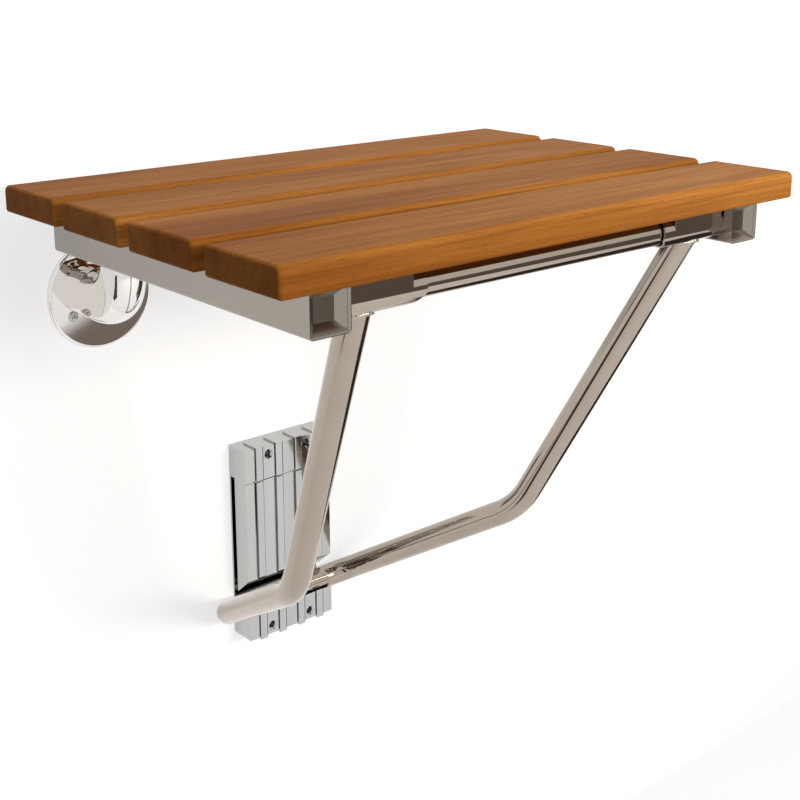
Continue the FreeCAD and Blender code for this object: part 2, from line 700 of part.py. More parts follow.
os.makedirs("parts", exist_ok=True)
for node, feature in parts.items():
    feature.Shape.exportStep(f"parts/{node}.step")
    box = feature.Shape.BoundBox
    print(f"{node}: {len(feature.Shape.Solids)} solid(s), {feature.Shape.Volume / 1000:.1f} cm3, "
          f"x {box.XMin:.1f}..{box.XMax:.1f} y {box.YMin:.1f}..{box.YMax:.1f} "
          f"z {box.ZMin:.1f}..{box.ZMax:.1f}")
print(f"{len(parts)} nodes written")
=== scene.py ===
"""Looks of a fold-down wall seat: teak slats, chromed rails, hinge brackets, leg frame and wall plate.

Everything is in metres in the part's own frame: X along the seat, +Y into the wall, Z up, and the
origin in the middle of the wall plate's back. Sizes that describe a finish are in millimetres.
"""

from __future__ import annotations

import logging
import math
from dataclasses import dataclass, field
from enum import Enum
from functools import cache
from typing import Iterable, Sequence

import bmesh
import bpy
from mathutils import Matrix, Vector


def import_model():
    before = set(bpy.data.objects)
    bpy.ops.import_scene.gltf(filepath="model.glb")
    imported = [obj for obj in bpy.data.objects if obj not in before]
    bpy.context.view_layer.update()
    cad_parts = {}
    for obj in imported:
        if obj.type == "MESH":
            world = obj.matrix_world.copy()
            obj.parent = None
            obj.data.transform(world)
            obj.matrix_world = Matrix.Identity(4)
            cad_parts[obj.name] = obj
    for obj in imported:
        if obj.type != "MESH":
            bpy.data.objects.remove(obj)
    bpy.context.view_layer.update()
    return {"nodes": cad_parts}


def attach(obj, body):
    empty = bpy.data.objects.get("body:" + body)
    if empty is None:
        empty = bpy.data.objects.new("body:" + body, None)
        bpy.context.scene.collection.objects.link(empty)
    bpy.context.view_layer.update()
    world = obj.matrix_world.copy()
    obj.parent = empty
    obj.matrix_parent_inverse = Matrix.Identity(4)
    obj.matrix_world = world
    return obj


log = logging.getLogger("wall_seat")

MM = 0.001
IMAGE_PIXELS = 800

Colour = tuple[float, float, float, float]


class Side(Enum):
    """Left or right half of the seat, seen from the room; the value is the sign of X."""

    LEFT = -1
    RIGHT = 1

    def node(self, stem: str) -> str:
        """Names this side's node.

        Args:
            stem: the name without its side.

        Returns:
            The CAD node's full name.
        """
        return f"{self.name.lower()}_{stem}"


def linear(hex_colour: str) -> Colour:
    """Turns an sRGB hex colour into linear RGBA.

    Args:
        hex_colour: six hex digits.

    Returns:
        The linear colour with an alpha of 1.
    """
    channels = [int(hex_colour[i:i + 2], 16) / 255 for i in (0, 2, 4)]
    red, green, blue = (c / 12.92 if c <= 0.04045 else ((c + 0.055) / 1.055) ** 2.4 for c in channels)
    return (red, green, blue, 1.0)


def per_mm(length_mm: float) -> float:
    """Turns a pattern's length into a scale for metres.

    Args:
        length_mm: the length in millimetres.

    Returns:
        How often the pattern repeats in a metre.
    """
    return 1.0 / (length_mm * MM)


def add_node(tree: bpy.types.NodeTree, kind: str, inputs: dict | None = None,
             **settings: object) -> bpy.types.Node:
    """Adds one node with its settings, values and links.

    Args:
        tree: the tree that gets the node.
        kind: the node's type.
        inputs: socket name or number to a value, or to another node's output.
        settings: properties of the node.

    Returns:
        The new node.
    """
    node = tree.nodes.new(kind)
    for name, value in settings.items():
        setattr(node, name, value)
    for socket, value in (inputs or {}).items():
        if isinstance(value, bpy.types.NodeSocket):
            tree.links.new(value, node.inputs[socket])
        else:
            node.inputs[socket].default_value = value
    return node


def new_material(name: str) -> tuple[bpy.types.Material, bpy.types.NodeTree]:
    """Makes an empty node material.

    Args:
        name: the finish in a maker's words.

    Returns:
        The material and its tree.
    """
    material = bpy.data.materials.new(name)
    material.use_nodes = True
    material.node_tree.nodes.clear()
    return material, material.node_tree


def new_geometry_tree(name: str, numbers: Sequence[str]) -> tuple[bpy.types.NodeTree, bpy.types.Node]:
    """Makes a Geometry Nodes tree with a geometry input, number inputs and a geometry output.

    Args:
        name: what the tree does.
        numbers: the number inputs' names.

    Returns:
        The tree and its input node.
    """
    tree = bpy.data.node_groups.new(name, "GeometryNodeTree")
    tree.interface.new_socket("Geometry", in_out="INPUT", socket_type="NodeSocketGeometry")
    for number in numbers:
        tree.interface.new_socket(number, in_out="INPUT", socket_type="NodeSocketFloat")
    tree.interface.new_socket("Geometry", in_out="OUTPUT", socket_type="NodeSocketGeometry")
    return tree, add_node(tree, "NodeGroupInput")


def set_inputs(modifier: bpy.types.Modifier, values: dict[str, float]) -> None:
    """Sets a Geometry Nodes modifier's inputs by their sockets' identifiers.

    Args:
        modifier: the modifier, which has its tree.
        values: the inputs' names and what they get.
    """
    for item in modifier.node_group.interface.items_tree:
        if item.name in values:
            modifier[item.identifier] = values[item.name]


def close_surface(tree: bpy.types.NodeTree, shader: bpy.types.NodeSocket) -> None:
    """Links a shader to the material's output.

    Args:
        tree: the material's tree.
        shader: the surface.
    """
    add_node(tree, "ShaderNodeOutputMaterial", {"Surface": shader})


def stretched(tree: bpy.types.NodeTree, lengths_mm: Sequence[float],
              offset_mm: Sequence[float] = (0, 0, 0)) -> bpy.types.NodeSocket:
    """Object coordinates scaled so that one unit is the given length along each axis.

    Args:
        tree: the material's tree.
        lengths_mm: the pattern's size along X, Y and Z.
        offset_mm: where the pattern starts.

    Returns:
        The vector output.
    """
    place = add_node(tree, "ShaderNodeTexCoord").outputs["Object"]
    mapping = add_node(tree, "ShaderNodeMapping", {
        "Vector": place,
        "Scale": tuple(per_mm(length) for length in lengths_mm),
        "Location": tuple(offset / length for offset, length in zip(offset_mm, lengths_mm)),
    })
    return mapping.outputs["Vector"]


@dataclass(frozen=True)
class OiledTeak:
    """Planed and sanded teak with an oil finish: long straight grain, fine open pores, a soft sheen."""

    name: str = "oiled teak"
    light: str = "B57838"
    body: str = "8E5520"
    streak: str = "5E3410"
    pore: str = "4A270C"
    # Tone of the sawn ends: oiled end grain plus painted shade.
    end_grain_and_shade_tone: str = "5E3411"
    streak_length_mm: float = 110.0
    streak_width_mm: float = 2.1
    band_length_mm: float = 520.0
    band_width_mm: float = 15.0
    pore_length_mm: float = 9.0
    pore_width_mm: float = 0.6
    ring_share: float = 0.42
    streak_share: float = 0.5
    pore_share: float = 0.45
    # How far the sawn ends darken: oiled end grain plus painted shade.
    end_grain_and_shade_share: float = 0.55
    roughness: tuple[float, float] = (0.40, 0.54)
    relief_mm: float = 0.2
    sheen: float = 0.02

    @cache
    def material(self) -> bpy.types.Material:
        """Builds the material.

        Returns:
            A teak whose grain runs along X and shows its rings on the sawn ends.
        """
        material, tree = new_material(self.name)
        # Broad tone: each board came from another part of the log.
        tone = add_node(tree, "ShaderNodeTexNoise", {
            "Vector": stretched(tree, (700.0, 92.0, 92.0), (60.0, 20.0, 0.0)), "Scale": 1.0, "Detail": 1.0,
        })
        # Growth rings, cut lengthwise, show as wavy bands that widen and close again.
        bend = add_node(tree, "ShaderNodeTexNoise", {
            "Vector": stretched(tree, (260.0, 40.0, 40.0)), "Scale": 1.0, "Detail": 2.0,
        })
        ring_place = add_node(tree, "ShaderNodeVectorMath", {
            0: stretched(tree, (self.band_length_mm, self.band_width_mm, self.band_width_mm * 1.4)),
            1: bend.outputs["Color"],
        }, operation="ADD")
        rings = add_node(tree, "ShaderNodeTexNoise", {
            "Vector": ring_place.outputs[0], "Scale": 1.0, "Detail": 2.5, "Roughness": 0.55,
        })
        streaks = add_node(tree, "ShaderNodeTexNoise", {
            "Vector": stretched(tree, (self.streak_length_mm, self.streak_width_mm, self.streak_width_mm)),
            "Scale": 1.0, "Detail": 4.0, "Roughness": 0.6, "Distortion": 0.3,
        })
        # Teak's pores are 0.3 mm wide; they are drawn twice as wide, so that they show.
        pores = add_node(tree, "ShaderNodeTexNoise", {
            "Vector": stretched(tree, (self.pore_length_mm, self.pore_width_mm, self.pore_width_mm),
                                (7, 3, 5)),
            "Scale": 1.0, "Detail": 1.0,
        })
        tone_share = add_node(tree, "ShaderNodeMapRange", {
            "Value": tone.outputs["Fac"], "From Min": 0.32, "From Max": 0.68,
        })
        ring_share = add_node(tree, "ShaderNodeMapRange", {
            "Value": rings.outputs["Fac"], "From Min": 0.46, "From Max": 0.68, "To Max": self.ring_share,
        })
        streak_share = add_node(tree, "ShaderNodeMapRange", {
            "Value": streaks.outputs["Fac"], "From Min": 0.40, "From Max": 0.70, "To Max": self.streak_share,
        })
        pore_share = add_node(tree, "ShaderNodeMapRange", {
            "Value": pores.outputs["Fac"], "From Min": 0.60, "From Max": 0.76, "To Max": self.pore_share,
        })
        # Sawn ends are darker: end grain drinks more oil, and painted shade darkens every face that looks
        # along X.
        normal = add_node(tree, "ShaderNodeNewGeometry").outputs["Normal"]
        facing = add_node(tree, "ShaderNodeSeparateXYZ", {0: normal})
        end = add_node(tree, "ShaderNodeMath", {0: facing.outputs["X"]}, operation="ABSOLUTE")
        end_grain_and_shade_share = add_node(tree, "ShaderNodeMapRange", {
            "Value": end.outputs[0], "From Min": 0.7, "From Max": 0.98, "To Max": self.end_grain_and_shade_share,
        })
        layers = ((tone_share, self.body), (ring_share, self.streak), (streak_share, self.streak),
                  (pore_share, self.pore), (end_grain_and_shade_share, self.end_grain_and_shade_tone))
        colour: Colour | bpy.types.NodeSocket = linear(self.light)
        for share, tint in layers:
            colour = add_node(tree, "ShaderNodeMix", {0: share.outputs[0], 6: colour, 7: linear(tint)},
                              data_type="RGBA").outputs[2]
        rough = add_node(tree, "ShaderNodeMapRange", {
            "Value": streaks.outputs["Fac"], "From Min": 0.3, "From Max": 0.7,
            "To Min": self.roughness[0], "To Max": self.roughness[1],
        })
        relief = add_node(tree, "ShaderNodeMath", {0: streaks.outputs["Fac"], 1: pore_share.outputs[0]},
                          operation="SUBTRACT")
        bump = add_node(tree, "ShaderNodeBump", {
            "Height": relief.outputs[0], "Strength": 0.3, "Distance": self.relief_mm * MM,
        })
        shader = add_node(tree, "ShaderNodeBsdfPrincipled", {
            "Base Color": colour, "Roughness": rough.outputs[0], "Normal": bump.outputs["Normal"],
            "IOR": 1.45, "Specular IOR Level": self.sheen,
        })
        close_surface(tree, shader.outputs[0])
        return material


@dataclass(frozen=True)
class Metal:
    """A bare or plated metal: its tint, its gloss, and the faint marks of how it was finished."""

    name: str
    tint: str
    worn_tint: str
    roughness: float
    roughness_spread: float
    mark_lengths_mm: tuple[float, float, float]
    relief_mm: float = 0.0

    @cache
    def material(self) -> bpy.types.Material:
        """Builds the material.

        Returns:
            A metal with the default index of refraction.
        """
        material, tree = new_material(self.name)
        marks = add_node(tree, "ShaderNodeTexNoise", {
            "Vector": stretched(tree, self.mark_lengths_mm), "Scale": 1.0, "Detail": 3.0,
        })
        colour = add_node(tree, "ShaderNodeMix", {
            0: marks.outputs["Fac"], 6: linear(self.tint), 7: linear(self.worn_tint),
        }, data_type="RGBA")
        rough = add_node(tree, "ShaderNodeMapRange", {
            "Value": marks.outputs["Fac"], "From Min": 0.3, "From Max": 0.7,
            "To Min": self.roughness, "To Max": self.roughness + self.roughness_spread,
        })
        inputs = {"Base Color": colour.outputs[2], "Roughness": rough.outputs[0], "Metallic": 1.0}
        if self.relief_mm:
            inputs["Normal"] = add_node(tree, "ShaderNodeBump", {
                "Height": marks.outputs["Fac"], "Strength": 1.0, "Distance": self.relief_mm * MM,
            }).outputs["Normal"]
        shader = add_node(tree, "ShaderNodeBsdfPrincipled", inputs)
        close_surface(tree, shader.outputs[0])
        return material


@dataclass(frozen=True)
class MouldedPlastic:
    """Injection-moulded plastic with a fine spark-eroded grain."""

    name: str
    tint: str
    roughness: float = 0.5
    grain_mm: float = 0.8
    relief_mm: float = 0.05

    @cache
    def material(self) -> bpy.types.Material:
        """Builds the material.

        Returns:
            A dull plastic with a fine grain.
        """
        material, tree = new_material(self.name)
        grain = add_node(tree, "ShaderNodeTexNoise", {
            "Vector": stretched(tree, (self.grain_mm,) * 3), "Scale": 1.0, "Detail": 2.0,
        })
        rough = add_node(tree, "ShaderNodeMapRange", {
            "Value": grain.outputs["Fac"], "To Min": self.roughness - 0.06, "To Max": self.roughness + 0.06,
        })
        bump = add_node(tree, "ShaderNodeBump", {
            "Height": grain.outputs["Fac"], "Strength": 0.3, "Distance": self.relief_mm * MM,
        })
        shader = add_node(tree, "ShaderNodeBsdfPrincipled", {
            "Base Color": linear(self.tint), "Roughness": rough.outputs[0], "Normal": bump.outputs["Normal"],
            "IOR": 1.52,
        })
        close_surface(tree, shader.outputs[0])
        return material


# Chrome over nickel on round tube reflects a little under half of the light, with a warm cast.
TUBE_CHROME = Metal("polished tube chrome", "AFA499", "A59A8F", 0.05, 0.04, (90.0, 20.0, 20.0))
# Chrome on the square tube is only lightly polished, so it reflects softly and looks greyer.
RAIL_CHROME = Metal("satin rail chrome", "9C968F", "979189", 0.16, 0.04, (120.0, 90.0, 60.0))
# Cast and buffed parts are the brightest mirrors.
MIRROR_CHROME = Metal("buffed mirror chrome", "EEECEA", "E6E3E0", 0.02, 0.02, (45.0, 45.0, 45.0))
# The drawn ribbed plate is plated too, but its flutes keep a trace of the drawing.
PLATE_CHROME = Metal("drawn plate chrome", "BEC0BF", "AFB1B0", 0.04, 0.05, (14.0, 60.0, 200.0))
# Turned stainless steel keeps fine tool marks.
TURNED_STEEL = Metal("turned stainless steel", "C6C4C1", "AFACA8", 0.2, 0.12, (1.2, 1.2, 1.2), 0.004)
# A plated weld keeps its ripples under the chrome.
WELD_CHROME = Metal("plated weld", "C9C0B7", "A39A91", 0.12, 0.1, (4.0, 4.0, 4.0), 0.01)
TEAK = OiledTeak()
NYLON = MouldedPlastic("black nylon", "1C1C1D", 0.48)


def dress(nodes: dict[str, bpy.types.Object], names: Iterable[str], material: bpy.types.Material) -> None:
    """Gives CAD nodes a material.

    Args:
        nodes: every CAD node by name.
        names: the nodes to dress.
        material: what they get.
    """
    for name in names:
        mesh = nodes[name].data
        mesh.materials.clear()
        mesh.materials.append(material)
        log.info("%s: %s", name, material.name)


def link_mesh(name: str, mesh: bpy.types.Mesh) -> bpy.types.Object:
    """Puts a mesh into the scene as an object at the origin.

    Args:
        name: the object's name.
        mesh: its mesh, with its place in it.

    Returns:
        The object.
    """
    thing = bpy.data.objects.new(name, mesh)
    bpy.context.scene.collection.objects.link(thing)
    return thing


def plain_mesh(thing: bpy.types.Object) -> bpy.types.Mesh:
    """Makes a plain mesh of what an object's modifiers give, and removes them.

    Args:
        thing: object with its modifiers.

    Returns:
        The new mesh.
    """
    bpy.context.view_layer.update()
    evaluated = thing.evaluated_get(bpy.context.evaluated_depsgraph_get())
    mesh = bpy.data.meshes.new_from_object(evaluated)
    thing.modifiers.clear()
    return mesh


def prism_faces(corners: int) -> list[tuple[int, ...]]:
    """Lists a prism's faces, for an outline that is written twice, once for each end.

    Args:
        corners: how many the outline has.

    Returns:
        Both ends, then the sides.
    """
    ends = [tuple(range(corners)), tuple(reversed(range(corners, 2 * corners)))]
    sides = [(i, i + corners, (i + 1) % corners + corners, (i + 1) % corners) for i in range(corners)]
    return ends + sides


def settle(thing: bpy.types.Object, material: bpy.types.Material, body: str) -> bpy.types.Object:
    """Turns a modifier's result into a plain mesh, dresses it and lets it ride.

    Args:
        thing: object with its Geometry Nodes modifier.
        material: finish of the result.
        body: CAD body that carries it.

    Returns:
        The plain piece.
    """
    mesh = plain_mesh(thing)
    thing.data = mesh
    mesh.name = thing.name
    mesh.materials.clear()
    mesh.materials.append(material)
    for polygon in mesh.polygons:
        polygon.material_index = 0
    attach(thing, body)
    log.info("%s: %d faces", thing.name, len(mesh.polygons))
    return thing


@dataclass
class SlattedSeat:
    """The four teak boards one sits on."""

    count: int = 4

    def dress(self, nodes: dict[str, bpy.types.Object]) -> None:
        """Gives every board its teak.

        Args:
            nodes: every CAD node by name.
        """
        dress(nodes, [f"slat_{index + 1}" for index in range(self.count)], TEAK.material())


@dataclass
class RailFrame:
    """Square rails with their end plugs, screws, hinge blocks and hinge pins."""

    def dress(self, nodes: dict[str, bpy.types.Object]) -> None:
        """Gives rails and plugs their chrome, and the small parts their steel.

        Args:
            nodes: every CAD node by name.
        """
        rails = RAIL_CHROME.material()
        steel = TURNED_STEEL.material()
        for side in Side:
            dress(nodes, [side.node("rail"), side.node("front_plug")], rails)
            dress(nodes, [side.node(stem) for stem in ("slat_screws", "hinge_block", "hinge_pin")], steel)


@dataclass
class CountersunkScrews:
    """Oval-head wall screws with a cross recess, set at a ring of holes by Geometry Nodes."""

    head_radius: float = 4.4 * MM
    head_height: float = 1.3 * MM
    recess_width: float = 0.9 * MM
    recess_length: float = 4.6 * MM
    recess_depth: float = 1.2 * MM
    recess_turn: float = 0.4
    widest_turn: float = 1.2
    rings: int = 5
    around: int = 32
    crown: float = 0.96

    def head(self) -> bpy.types.Object:
        """Makes one head with its recess.

        Returns:
            A head whose axis is -Y and whose rim lies at Y = 0.
        """
        rings, around = self.rings, self.around
        vertices: list[tuple[float, float, float]] = []
        faces: list[tuple[int, ...]] = []
        for ring in range(rings):
            bow = ring / (rings - 1) * math.pi / 2
            radius = self.head_radius * math.cos(bow * self.crown)
            height = self.head_height * math.sin(bow)
            for step in range(around):
                angle = 2 * math.pi * step / around
                vertices.append((radius * math.cos(angle), -height, radius * math.sin(angle)))
        for ring in range(rings - 1):
            for step in range(around):
                a = ring * around + step
                b = ring * around + (step + 1) % around
                faces.append((a, b, b + around, a + around))
        faces.append(tuple(range((rings - 1) * around, rings * around)))
        faces.append(tuple(reversed(range(around))))
        mesh = bpy.data.meshes.new("screw_head")
        mesh.from_pydata(vertices, [], faces)
        head = link_mesh("screw_head", mesh)
        cross = link_mesh("screw_cross", self.cross_mesh())
        cut = head.modifiers.new("recess", "BOOLEAN")
        cut.object = cross
        cut.operation = "DIFFERENCE"
        cut.solver = "EXACT"
        head.data = plain_mesh(head)
        bpy.data.objects.remove(cross)
        return head

    def cross_mesh(self) -> bpy.types.Mesh:
        """Makes the cross-shaped bar that cuts the recess; it mustn't cut through itself.

        Returns:
            One closed prism along Y.
        """
        half, arm = self.recess_width / 2, self.recess_length / 2
        quarter = ((arm, -half), (arm, half), (half, half))
        outline: list[tuple[float, float]] = []
        for turn in range(4):
            angle = turn * math.pi / 2 + self.recess_turn
            outline += [(x * math.cos(angle) - z * math.sin(angle), x * math.sin(angle) + z * math.cos(angle))
                        for x, z in quarter]
        depths = (-self.head_height - self.recess_depth, -self.head_height + self.recess_depth)
        mesh = bpy.data.meshes.new("screw_cross")
        mesh.from_pydata([(x, y, z) for y in depths for x, z in outline], [], prism_faces(len(outline)))
        return mesh

    def tree(self, head: bpy.types.Object, material: bpy.types.Material) -> bpy.types.NodeTree:
        """Builds the tree that sets one head at every point.

        Args:
            head: the screw head to repeat.
            material: its steel.

        Returns:
            A tree with the inputs Geometry and Scale.
        """
        tree, entry = new_geometry_tree("set screw heads", ("Scale",))
        source = add_node(tree, "GeometryNodeObjectInfo", {"Object": head})
        spin = add_node(tree, "FunctionNodeRandomValue", {
            "Min": (0.0, -self.widest_turn, 0.0), "Max": (0.0, self.widest_turn, 0.0), "Seed": 7,
        }, data_type="FLOAT_VECTOR")
        set_heads = add_node(tree, "GeometryNodeInstanceOnPoints", {
            "Points": entry.outputs["Geometry"], "Instance": source.outputs["Geometry"],
            "Rotation": spin.outputs[0], "Scale": entry.outputs["Scale"],
        })
        real = add_node(tree, "GeometryNodeRealizeInstances", {"Geometry": set_heads.outputs[0]})
        finish = add_node(tree, "GeometryNodeSetMaterial", {
            "Geometry": real.outputs[0], "Material": material,
        })
        add_node(tree, "NodeGroupOutput", {"Geometry": finish.outputs[0]})
        return tree

    def build(self, name: str, spots: Sequence[Vector], body: str, slot: str) -> bpy.types.Object:
        """Sets a head at every spot.

        Args:
            name: the piece's name.
            spots: middles of the holes, on the face.
            body: CAD body that carries the screws.
            slot: name of a material slot; not used.

        Returns:
            One plain mesh with every head.
        """
        mesh = bpy.data.meshes.new(name)
        mesh.from_pydata(list(spots), [], [])
        piece = link_mesh(name, mesh)
        head = self.head()
        material = TURNED_STEEL.material()
        modifier = piece.modifiers.new("screws", "NODES")
        modifier.node_group = self.tree(head, material)
        set_inputs(modifier, {"Scale": 1.0})
        settle(piece, material, body)
        bpy.data.objects.remove(head)
        return piece


@dataclass
class HingeBrackets:
    """Round wall flanges with their horns, bushes, washers and wall screws."""

    flange_x: float = 170.5 * MM
    flange_z: float = 259.0 * MM
    flange_face: float = 5.0 * MM
    hole_circle: float = 30.0 * MM
    holes: int = 3
    head_sink: float = 0.2 * MM
    screws: CountersunkScrews = field(default_factory=CountersunkScrews)

    def dress(self, nodes: dict[str, bpy.types.Object]) -> None:
        """Gives the brackets mirror chrome, their bearings nylon and their bolts steel.

        Args:
            nodes: every CAD node by name.
        """
        chrome = MIRROR_CHROME.material()
        nylon = NYLON.material()
        steel = TURNED_STEEL.material()
        for side in Side:
            dress(nodes, [side.node("wall_flange"), side.node("hinge_horn")], chrome)
            dress(nodes, [side.node("hinge_bush"), side.node("hinge_washer")], nylon)
            dress(nodes, [side.node("horn_bolt")], steel)

    def build(self) -> None:
        """Sets the wall screws into the flange holes, the first hole straight above the middle."""
        for side in Side:
            spots = []
            for hole in range(self.holes):
                angle = math.radians(90 + 360 / self.holes * hole)
                across = -side.value * self.hole_circle * math.cos(angle)
                spots.append(Vector((side.value * self.flange_x + across, -self.flange_face + self.head_sink,
                                     self.flange_z + self.hole_circle * math.sin(angle))))
            self.screws.build(side.node("flange_wall_screws"), spots, "wall_side", "steel")


@dataclass
class WeldBead:
    """Rippled weld bead along a closed seam, laid by Geometry Nodes as overlapping drops."""

    drop_radius: float = 1.5 * MM
    spacing: float = 1.1 * MM
    drop_shares: tuple[float, float] = (0.85, 1.1)

    def tree(self, material: bpy.types.Material) -> bpy.types.NodeTree:
        """Builds the tree that lays drops along a seam.

        Args:
            material: the plated weld.

        Returns:
            A tree with the inputs Geometry, Drop Radius and Spacing.
        """
        tree, entry = new_geometry_tree("lay weld drops", ("Drop Radius", "Spacing"))
        seam = add_node(tree, "GeometryNodeMeshToCurve", {"Mesh": entry.outputs["Geometry"]})
        spots = add_node(tree, "GeometryNodeCurveToPoints", {
            "Curve": seam.outputs[0], "Length": entry.outputs["Spacing"],
        }, mode="LENGTH")
        drop = add_node(tree, "GeometryNodeMeshIcoSphere", {
            "Radius": entry.outputs["Drop Radius"], "Subdivisions": 2,
        })
        vary = add_node(tree, "FunctionNodeRandomValue", {
            2: self.drop_shares[0], 3: self.drop_shares[1], "Seed": 11,
        }, data_type="FLOAT")
        laid = add_node(tree, "GeometryNodeInstanceOnPoints", {
            "Points": spots.outputs["Points"], "Instance": drop.outputs["Mesh"], "Scale": vary.outputs[1],
        })
        real = add_node(tree, "GeometryNodeRealizeInstances", {"Geometry": laid.outputs[0]})
        smooth = add_node(tree, "GeometryNodeSetShadeSmooth", {0: real.outputs[0]})
        finish = add_node(tree, "GeometryNodeSetMaterial", {
            "Geometry": smooth.outputs[0], "Material": material,
        })
        add_node(tree, "NodeGroupOutput", {"Geometry": finish.outputs[0]})
        return tree

    def build(self, name: str, seam: Sequence[Vector], body: str, slot: str) -> bpy.types.Object:
        """Lays a bead along a closed seam.

        Args:
            name: the piece's name.
            seam: points round the seam.
            body: CAD body that carries it.
            slot: name of a material slot; not used.

        Returns:
            The bead as a plain mesh.
        """
        mesh = bpy.data.meshes.new(name)
        mesh.from_pydata(list(seam), [(i, (i + 1) % len(seam)) for i in range(len(seam))], [])
        piece = link_mesh(name, mesh)
        material = WELD_CHROME.material()
        modifier = piece.modifiers.new("bead", "NODES")
        modifier.node_group = self.tree(material)
        set_inputs(modifier, {"Drop Radius": self.drop_radius, "Spacing": self.spacing})
        return settle(piece, material, body)


@dataclass
class LegFrame:
    """Bent tube with the rod it hangs from, turning sleeves, stop plates, liners and welds."""

    rod_out: float = 340.0 * MM
    rod_height: float = 324.0 * MM
    sleeve_radius: float = 13.5 * MM
    tube_radius: float = 11.1 * MM
    top_offset: float = 168.5 * MM
    knee: tuple[float, float, float] = (124.0 * MM, -203.5 * MM, 52.0 * MM)
    plate_outer: float = 190.6 * MM
    plate_inner: float = 133.0 * MM
    plate_top: float = 339.4 * MM
    plate_thick: float = 3.0 * MM
    plate_edge: float = 0.5 * MM
    toe_low: float = 1.0 * MM
    toe_high: float = 4.0 * MM
    toe_swell: float = 1.6
    seam_points: int = 48
    seam_gap: float = 0.3 * MM
    weld: WeldBead = field(default_factory=WeldBead)

    def dress(self, nodes: dict[str, bpy.types.Object]) -> None:
        """Gives tube, rod and sleeves their chrome, and the liners nylon.

        Args:
            nodes: every CAD node by name.
        """
        chrome = TUBE_CHROME.material()
        dress(nodes, ["leg_tube", "cross_rod"] + [side.node("turning_sleeve") for side in Side], chrome)
        dress(nodes, [side.node("sleeve_liners") for side in Side], NYLON.material())

    def stop_plate(self, side: Side) -> bpy.types.Object:
        """Makes the flat plate on a sleeve's front that stops the open seat.

        Args:
            side: which leg.

        Returns:
            A bevelled plate that runs out of the sleeve's front up to the slat.
        """
        front = -self.rod_out - self.sleeve_radius
        profile = [
            (front, self.rod_height - self.toe_low), (front, self.plate_top),
            (front + self.plate_thick, self.plate_top),
            (front + self.plate_thick, self.rod_height + self.toe_high),
            (front + self.plate_thick * self.toe_swell, self.rod_height - self.toe_low),
        ]
        ends = sorted((side.value * self.plate_outer, side.value * self.plate_inner))
        mesh = bpy.data.meshes.new(side.node("stop_plate"))
        mesh.from_pydata([(x, y, z) for x in ends for y, z in profile], [], prism_faces(len(profile)))
        form = bmesh.new()
        form.from_mesh(mesh)
        bmesh.ops.bevel(form, geom=form.edges[:], offset=self.plate_edge, segments=2, affect="EDGES")
        bmesh.ops.recalc_face_normals(form, faces=form.faces)
        form.to_mesh(mesh)
        form.free()
        return link_mesh(side.node("stop_plate"), mesh)

    def seam(self, side: Side) -> list[Vector]:
        """Traces the line where the leg's tube meets its sleeve.

        Args:
            side: which leg.

        Returns:
            Points round the seam.
        """
        top = Vector((side.value * self.top_offset, -self.rod_out, self.rod_height))
        low = Vector((side.value * self.knee[0], self.knee[1], self.knee[2]))
        along = (low - top).normalized()
        across = along.cross(Vector((1, 0, 0))).normalized()
        beside = along.cross(across).normalized()
        radius = self.tube_radius + self.seam_gap
        points = []
        for step in range(self.seam_points):
            angle = 2 * math.pi * step / self.seam_points
            start = top + (across * math.cos(angle) + beside * math.sin(angle)) * radius
            # The tube's line is followed down to the sleeve's outside.
            y, z = start.y + self.rod_out, start.z - self.rod_height
            dy, dz = along.y, along.z
            a = dy * dy + dz * dz
            b = 2 * (y * dy + z * dz)
            c = y * y + z * z - (self.sleeve_radius + self.seam_gap) ** 2
            run = (-b + math.sqrt(b * b - 4 * a * c)) / (2 * a)
            points.append(start + along * run)
        return points

    def build(self) -> None:
        """Adds the stop plates and the welds."""
        chrome = TUBE_CHROME.material()
        for side in Side:
            plate = self.stop_plate(side)
            plate.data.materials.append(chrome)
            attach(plate, "leg_frame")
            log.info("%s: %d faces", plate.name, len(plate.data.polygons))
            self.weld.build(side.node("leg_weld"), self.seam(side), "leg_frame", "tube_chrome")


@dataclass
class WallPlate:
    """Ribbed plate that the foot bar stands in."""

    def dress(self, nodes: dict[str, bpy.types.Object]) -> None:
        """Gives the plate its chrome.

        Args:
            nodes: every CAD node by name.
        """
        dress(nodes, ["wall_plate"], PLATE_CHROME.material())


@dataclass(frozen=True)
class Lamp:
    """A long soft lamp: where it hangs, its width in metres, its power in watts and its colour."""

    name: str
    place: tuple[float, float, float]
    width: float
    watts: float
    tint: str
    height_share: float = 0.4


